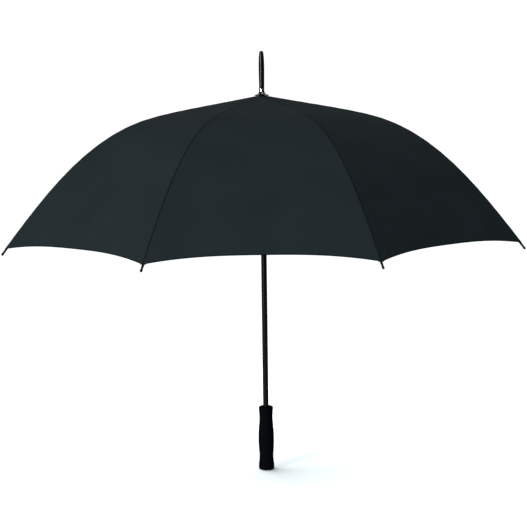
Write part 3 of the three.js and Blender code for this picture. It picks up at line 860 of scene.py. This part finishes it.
def washer(shape, x, z, radius, hole, thickness, y=0.0):
    """A flat ring round a wire along Y."""
    half, edge = thickness / 2, 0.2
    profile = [(hole, -half), (radius - edge, -half), (radius, edge - half), (radius, half - edge)]
    profile += [(radius - edge, half), (hole, half), (hole, -half)]
    turn = Matrix.Translation((x, y, z)) @ Matrix.Rotation(-math.pi / 2, 4, "X")
    shape.lathe(profile, 32, turn)


def rounded_section(s, half, low, high, middle=0.0, corner=0.35):
    """A rectangle with cut corners across the rib at s."""
    points = [(-half + corner, low), (half - corner, low), (half, low + corner), (half, high - corner)]
    points += [(half - corner, high), (-half + corner, high), (-half, high - corner), (-half, low + corner)]
    return np.array([beside_rib(s, middle + a, b) for a, b in points])


def inner_rib_shape():
    shape = Shape()
    section = channel_section(CHANNEL_WIDTH, CHANNEL_HEIGHT, CHANNEL_WALL)
    stations = np.linspace(8, RIVET_AT - 8, 60)
    shape.loft([np.array([beside_rib(s, a, b) for a, b in section]) for s in stations])
    washer(shape, HINGE_RADIUS, HINGE_HEIGHT, 2.6, 0.95, 2)
    neck = [(1.6, 1, 1.2), (5, 1, 1.25), (9, 1.25, 1.25)]
    shape.loft([rounded_section(s, half, -tall, tall) for s, half, tall in neck])
    clip = [(-12, 2.3), (-11.4, 3.0), (-9.5, 3.2), (-7, 3.2), (-6.4, 2.95), (-5, 2.95), (-4.4, 3.2)]
    clip += [(0, 3.2), (3.6, 3.2), (4, 3)]
    shape.loft([rounded_section(RIVET_AT + s, half, -2.1, 1.9 if half > 3.1 else 1.7) for s, half in clip])
    for side in (-1, 1):
        ends = (RIVET_AT + 2, FLEX_AT, FLEX_AT + 4.6, FLEX_AT + 5)
        halves = (0.47, 0.47, 0.47, 0.35)
        shape.loft([rounded_section(s, h, -2.1, 1.9, side * 2.73, 0.15) for s, h in zip(ends, halves)])
    slope = float(slope_at(np.array(float(RIVET_AT))))
    lug = [*arc((0, 0), 2.9, 180, 360, 14), (2.9, 4.2), (-2.9, 4.2)]
    turn = Matrix.Translation((RIVET_RADIUS, 0, RIVET_HEIGHT)) @ Matrix.Rotation(slope, 4, "Y")
    shape.plate(lug, 1.8, 0.2, turn)
    return shape


def outer_rib_shape():
    """A fibreglass rod with a rounded inner end."""
    rings = []
    angles = np.arange(16) * 2 * math.pi / 16
    stations = [(FLEX_AT - 4, 0.6), (FLEX_AT - 3.6, 0.9)]
    stations += [(s, 1.0) for s in np.linspace(FLEX_AT - 3, CORNER_AT + 6, 70)]
    for s, scale in stations:
        radius = ROD_RADIUS * scale
        rings.append(np.array([beside_rib(s, radius * math.cos(a), radius * math.sin(a)) for a in angles]))
    return Shape().loft(rings)


def arm_turn(s, up=0.0):
    """A matrix that puts Z along the rib at s."""
    x, _, z = beside_rib(s, 0.0, up)
    slope = float(slope_at(np.array(float(s))))
    return Matrix.Translation((x, 0, z)) @ Matrix.Rotation(math.pi / 2 + slope, 4, "Y")


def tip_shape():
    """The moulded tip: a sleeve with a moulded ring, an eyelet groove and a round nose."""
    start = CORNER_AT - 5
    length = TIP_END - start
    nose = [(2.5, length - 6.6), (2.9, length - 4.8), (2.9, length - 2.6), (2.2, length - 0.8)]
    nose = smooth_curve(nose, 6)
    profile = [(0, 11), (2.05, 11), (2.05, 0.2), (2.25, 0), (2.4, 0.1), (2.5, 0.4), (2.5, 3)]
    profile += [(2.2, 3.3), (2.2, 5.1), (2.5, 5.4), *nose, (1.2, length - 0.2), (0, length)]
    return Shape().lathe(profile, 32, arm_turn(start))


def tip_thread_shape():
    """Three turns of thread in the tip's groove, which hold the canopy's corner."""
    shape = Shape()
    for k in range(3):
        profile = arc((2.55, 3.65 + 0.55 * k), 0.3, 0, 360, 8)
        shape.lathe([*profile[:-1], profile[0]], 32, arm_turn(CORNER_AT - 5))
    return shape


def bar_section(x, half, tall):
    """A rectangle across a bar that runs along X."""
    return np.array([(x, -half, -tall), (x, half, -tall), (x, half, tall), (x, -half, tall)], float)


def stretcher_shape():
    """A straight channel from the runner's wire to the rivet, in the arm frame at rest."""
    shape = Shape()
    section = channel_section(CHANNEL_WIDTH - 0.2, CHANNEL_HEIGHT, CHANNEL_WALL, -1)
    shape.loft([np.array([(x, a, b) for a, b in section]) for x in (9, LINK_LENGTH - 9)])
    washer(shape, 0, 0, 2.6, 0.95, 2)
    shape.loft([bar_section(1.6, 0.98, 1.2), bar_section(7, 0.98, 1.3), bar_section(11, 1.25, 1.3)])
    end = LINK_LENGTH - 9
    block_end = [(end - 3.4, 1.9, 1.5), (end - 3, 2.25, 1.7), (end + 2.6, 2.25, 1.7), (end + 3, 1.9, 1.5)]
    shape.loft([bar_section(*place) for place in block_end])
    ear = [(end, -1.7), (LINK_LENGTH, -2.3), *arc((LINK_LENGTH, 0), 2.4, -75, 75, 12)]
    ear += [(LINK_LENGTH, 2.3), (end, 1.7)]
    for side in (-1, 1):
        shape.plate(ear, 1, 0.15, Matrix.Translation((0, side * 1.75, 0)))
    turn = Matrix.Translation((HINGE_RADIUS, 0, RUNNER_HEIGHT)) @ Matrix.Rotation(-LINK_SLOPE, 4, "Y")
    shape.vertices = [tuple(turn @ Vector(v)) for v in shape.vertices]
    return shape


def rivet_shape():
    """A pin with two domed heads."""
    head = [(1.5, 2.3), (1.5, 2.42), (1.25, 2.68), (0.8, 2.86), (0, 2.92)]
    profile = [(0, -2.92), *[(r, -z) for r, z in reversed(head[:-1])], (0.95, -2.25), (0.95, 2.25), *head]
    turn = Matrix.Translation((RIVET_RADIUS, 0, RIVET_HEIGHT)) @ Matrix.Rotation(-math.pi / 2, 4, "X")
    return Shape().lathe(profile, 24, turn)


def wrap_shape():
    """The scrap of cloth tied round the clip, which keeps it from chafing the canopy."""
    rings = []
    for back, grow in ((13.5, 0.1), (13, 0.32), (9, 0.36), (5.4, 0.3), (5, 0.1)):
        rings.append(rounded_section(RIVET_AT - back, 3.3 + grow, -2.2 - grow, 2.05 + grow, corner=0.9))
    return Shape().loft(rings, caps=False)


def make_arms():
    shapes = {
        "rib": (inner_rib_shape(), RIB_STEEL),
        "rod": (outer_rib_shape(), FIBREGLASS),
        "tip": (tip_shape(), GLOSS),
        "tip_thread": (tip_thread_shape(), THREAD),
        "strut": (stretcher_shape(), RIB_STEEL),
        "rivet": (rivet_shape(), SPRING),
        "clip_wrap": (wrap_shape(), CLOTH_PLAIN),
    }
    rides = {
        "rib": ("rib_{}", "rib_enamel", "rib_inner_{}"),
        "rod": ("outer_{}", "fibreglass", "rib_outer_{}"),
        "tip": ("outer_{}", "gloss_plastic", "rib_tip_{}"),
        "tip_thread": ("outer_{}", "canopy_cloth", None),
        "strut": ("strut_{}", "rib_enamel", "stretcher_{}"),
        "rivet": ("strut_{}", "spring_steel", None),
        "clip_wrap": ("rib_{}", "canopy_cloth", None),
    }
    for kind, (shape, finish) in shapes.items():
        first = shape.made(f"{kind}_piece_1", finish, 40)
        body, slot, node = rides[kind]
        for rib in RIBS:
            piece = first if rib == 1 else bpy.data.objects.new(f"{kind}_piece_{rib}", first.data)
            if rib > 1:
                bpy.context.scene.collection.objects.link(piece)
            settle(piece, body.format(rib), [node.format(rib)] if node else (), rib)


# -------------------------------------------------- canopy
def relief(s, v, half):
    """How far the cloth stands off its smooth surface: a slight hollow, sewn seams and soft tension folds."""
    seam = (1 - np.abs(v)) * half
    along = np.clip(s / CORNER_AT, 0, 1)
    hollow = -1.8 * (1 - v**2) * along * (1.25 - along)
    groove = -0.55 * np.exp(-((seam / 1.5) ** 2))
    broad = 0.28 * np.sin(s / 17 + 2.1 * v) * np.cos(2.6 * v + s / 90) * (1 - v**2)
    from_corner = np.hypot(CORNER_AT - s, seam)
    bearing = np.arctan2(seam, np.maximum(CORNER_AT - s, 1e-6))
    corner = 0.45 * np.sin(10 * bearing) * np.exp(-from_corner / 55) * np.clip(from_corner / 18, 0, 1)
    from_crown = np.exp(-np.maximum(s, 0) / 60)
    crown = 0.25 * np.cos(9 * math.pi * v) * from_crown * np.clip(seam / 3, 0, 1)
    pull = 0.22 * np.sin(s / 6.5) * np.exp(-seam / 9) * (1 - np.exp(-seam / 1.2))
    return hollow + groove + broad + corner + crown + pull


def cloth_point(s, v, drop=0.0):
    """Points of a panel in its own frame, v from -1 to 1 between its ribs, drop below the cloth's top."""
    slope = slope_at(s)
    x = np.interp(s, LINE_S, LINE_X) + CLOTH_OFFSET * np.sin(slope)
    z = np.interp(s, LINE_S, LINE_Z) + CLOTH_OFFSET * np.cos(slope)
    half = x * math.sin(HALF_PANEL)
    tilt = np.arctan(np.tan(slope) / math.cos(HALF_PANEL))
    rise = relief(s, v, half) - drop
    return np.stack([x * math.cos(HALF_PANEL) + rise * np.sin(tilt), v * half, z + rise * np.cos(tilt)], -1)


def cloth_frame(s, v):
    """The unit normal, and the unit direction towards the hem, at points of a panel."""
    step_s, step_v = 0.4, 0.002
    inside = np.clip(v, -1 + step_v, 1 - step_v)
    along = cloth_point(s + step_s, inside) - cloth_point(s - step_s, inside)
    across = cloth_point(s, inside + step_v) - cloth_point(s, inside - step_v)
    normal = np.cross(along, across)
    along /= np.linalg.norm(along, axis=-1, keepdims=True)
    return normal / np.linalg.norm(normal, axis=-1, keepdims=True), along


def hem_at(v):
    return CORNER_AT - HEM_RISE * (1 - np.abs(v) ** HEM_POWER)


# Where each zone of the cloth starts and ends along the rib, and its rows. The hem sets the end of the last.
ZONES = {
    "inner": (CLOTH_START, FLEX_AT, 60),
    "middle": (FLEX_AT, FIRST_FOLD_AT, 24),
    "outer": (FIRST_FOLD_AT, SECOND_FOLD_AT, 22),
    "hem": (SECOND_FOLD_AT, None, 22),
}
COLUMNS = 36
# Of each zone as it folds: the share of its sideways length that it keeps, and its sideways shift.
FOLDS = {"inner": (0.14, 4.2), "middle": (0.16, 1.0), "outer": (0.13, 4.0), "hem": (0.1, 4.5)}
# How far a folded pleat leans outwards, for each length across it.
OUTWARD = 0.13
WIDER_SEAM = 0.5


def zone_rows(zone, v):
    """(s, drop, turn) for each row of a zone: the tuck under its neighbour, the cloth, and the turned hem."""
    start, end, steps = ZONES[zone]
    stop = hem_at(v) if end is None else np.full_like(v, end)
    rows = []
    if zone != "inner":
        tuck = LEAST_TUCK + (MOST_TUCK - LEAST_TUCK) * (1 - np.abs(v))
        rows += [(start - tuck, 0.45, 0.0), (start - tuck / 2, 0.45, 0.0), (start - 0.3 + 0 * v, 0.4, 0.0)]
    rows += [(start + (stop - start) * k / steps, 0.0, 0.0) for k in range(steps + 1)]
    if end is None:
        radius = 0.45
        for angle in np.linspace(0, math.pi, 7)[1:]:
            rows.append((stop + radius * math.sin(angle), radius * (1 - math.cos(angle)), angle))
        rows += [(stop - back, 2 * radius, math.pi) for back in (3.0, 6.5, TURNED_HEM)]
    return rows


def fold_of(zone, side):
    """(axis, anchor, keep) that fold a wing of cloth as the umbrella closes, in the arm frame.

    The wing's rulings all run along one level direction. Squashed along the axis they lean outwards, and keep
    a small share of their sideways length. The anchor stands beside the rib, so the wing also shifts sideways
    by a fixed amount, and its far edge stays against that of the next rib's wing all the way down.
    """
    start, end, _ = ZONES[zone]
    sideways, shift = FOLDS[zone]
    ends = beside_rib(np.array([start, end or CORNER_AT], float), 0.0, CLOTH_OFFSET)
    slope = math.atan2(ends[0][2] - ends[1][2], ends[1][0] - ends[0][0])
    closed = slope + FOLD + (0 if zone == "inner" else FLEX)
    along = Vector((math.cos(slope), 0, -math.sin(slope)))
    normal = Vector((math.sin(slope), 0, math.cos(slope)))
    ruling = Vector((-math.sin(HALF_PANEL), side * math.cos(HALF_PANEL), 0))
    lean = (OUTWARD - ruling.dot(along) * math.cos(closed)) / math.sin(closed)
    folded = ruling.dot(along) * along + Vector((0, side * sideways, 0)) + lean * normal
    change = ruling - folded
    axis = change.normalized()
    keep = 1 - change.length / ruling.dot(axis)
    anchor = Vector(ends[0]) + Vector((0, side * shift / ((1 - keep) * axis.y**2), 0))
    return axis, anchor, keep


def make_wing(zone, rib, side):
    """The cloth of one zone between a rib and the middle of the panel beside it."""
    share = np.linspace(0, 1, COLUMNS + 1)
    v = side * (share - 1)
    points, normals, flat, edges = [], [], [], []
    for s, drop, turn in zone_rows(zone, v):
        s = s + 0 * v
        normal, along = cloth_frame(s, v)
        facing = normal * math.cos(turn) + along * math.sin(turn)
        half = (np.interp(s, LINE_S, LINE_X) + CLOTH_OFFSET * np.sin(slope_at(s))) * math.sin(HALF_PANEL)
        points.append(cloth_point(s, v, drop))
        normals.append(facing)
        flat.append(np.stack([v * half, s], -1) * MM)
        edges.append(np.stack([(1 - np.abs(v)) * half, np.abs(hem_at(v) - s)], -1) * MM)
    rows, columns = len(points), COLUMNS + 1
    turn = np.array(Matrix.Rotation(azimuth_of(rib) + side * HALF_PANEL, 3, "Z"))
    points = np.concatenate(points) @ turn.T * MM
    normals = np.concatenate(normals) @ turn.T
    faces = []
    for r in range(rows - 1):
        for c in range(columns - 1):
            a = r * columns + c
            face = (a, a + columns, a + columns + 1, a + 1)
            faces.append(face if side < 0 else face[::-1])
    word = "left" if side < 0 else "right"
    mesh = bpy.data.meshes.new(f"canopy_{zone}_{rib}_{word}_cloth")
    mesh.from_pydata([tuple(p) for p in points], [], faces)
    mesh.polygons.foreach_set("use_smooth", [True] * len(mesh.polygons))
    vertex_of = np.array([loop.vertex_index for loop in mesh.loops])
    for name, values in (("cloth", flat), ("edges", edges)):
        layer = mesh.uv_layers.new(name=name)
        layer.uv.foreach_set("vector", np.concatenate(values)[vertex_of].astype(np.float32).ravel())
    if mesh.polygons[len(mesh.polygons) // 2].normal.z < 0:
        mesh.flip_normals()
    mesh.normals_split_custom_set_from_vertices([tuple(n) for n in normals])
    mesh.materials.append(CLOTH)
    piece = bpy.data.objects.new(f"canopy_{zone}_{rib}_{word}", mesh)
    bpy.context.scene.collection.objects.link(piece)
    part, body = ("inner", f"rib_{rib}") if zone == "inner" else ("outer", f"outer_{rib}")
    settle(piece, body, [f"canopy_{part}_{rib}"])
    axis, anchor, keep = fold_of(zone, side)
    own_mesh(piece)


def make_seams():
    """Each rib's seam from below: the two panels' edges rolled together and stitched.

    It is wider before the clip, where the folded pleats stand farthest from the rib.
    """
    under = [(-6.5, -0.75), (-5, -1.25), (0, -1.0), (5, -1.25), (6.5, -0.75)]
    outline = [*under, (5, -0.6), (0, -0.55), (-5, -0.6)]
    stretches = {
        "inner": ("rib", np.linspace(6, FLEX_AT, 60)),
        "outer": ("outer", np.linspace(FLEX_AT, CORNER_AT - 1, 70)),
    }
    for rib in RIBS:
        for part, (body, stations) in stretches.items():
            rings = []
            for s in stations:
                fall = math.tan(HALF_PANEL) * math.sin(float(slope_at(np.array(s))))
                wide = 1 + WIDER_SEAM * min(1, max(0, s - 120) / 80) * min(1, max(0, FLEX_AT - s) / 20)
                shown = [(a * wide, up) for a, up in outline]
                ring = [beside_rib(s, a, CLOTH_OFFSET + up - abs(a) * fall) for a, up in shown]
                rings.append(np.array(ring))
            seam = Shape().loft(rings).made(f"seam_{part}_{rib}", CLOTH_PLAIN, 40)
            settle(seam, f"{body}_{rib}", (), rib)


def make_crown_patch():
    """A small doubled disc of cloth between the cap and the canopy."""
    low = heights_of("canopy_cap")[0]
    outer = 15.6
    profile = [(7.6, low - 0.45), (outer - 0.2, low - 0.55), (outer, low - 0.4)]
    profile += [(outer - 0.2, low - 0.2), (7.6, low - 0.15)]
    patch = Shape().lathe([*profile, profile[0]], 64).made("crown_patch", CLOTH_PLAIN, 50)
    settle(patch, "root")


def make_canopy():
    for rib in RIBS:
        for side in (-1, 1):
            for zone in ZONES:
                make_wing(zone, rib, side)


make_camera()
make_shaft()
make_grip()
make_plug()
make_cap()
make_collar()
make_spike()
make_notch()
make_runner()
make_latches()
make_arms()
make_canopy()
make_seams()
make_crown_patch()
make_stage()
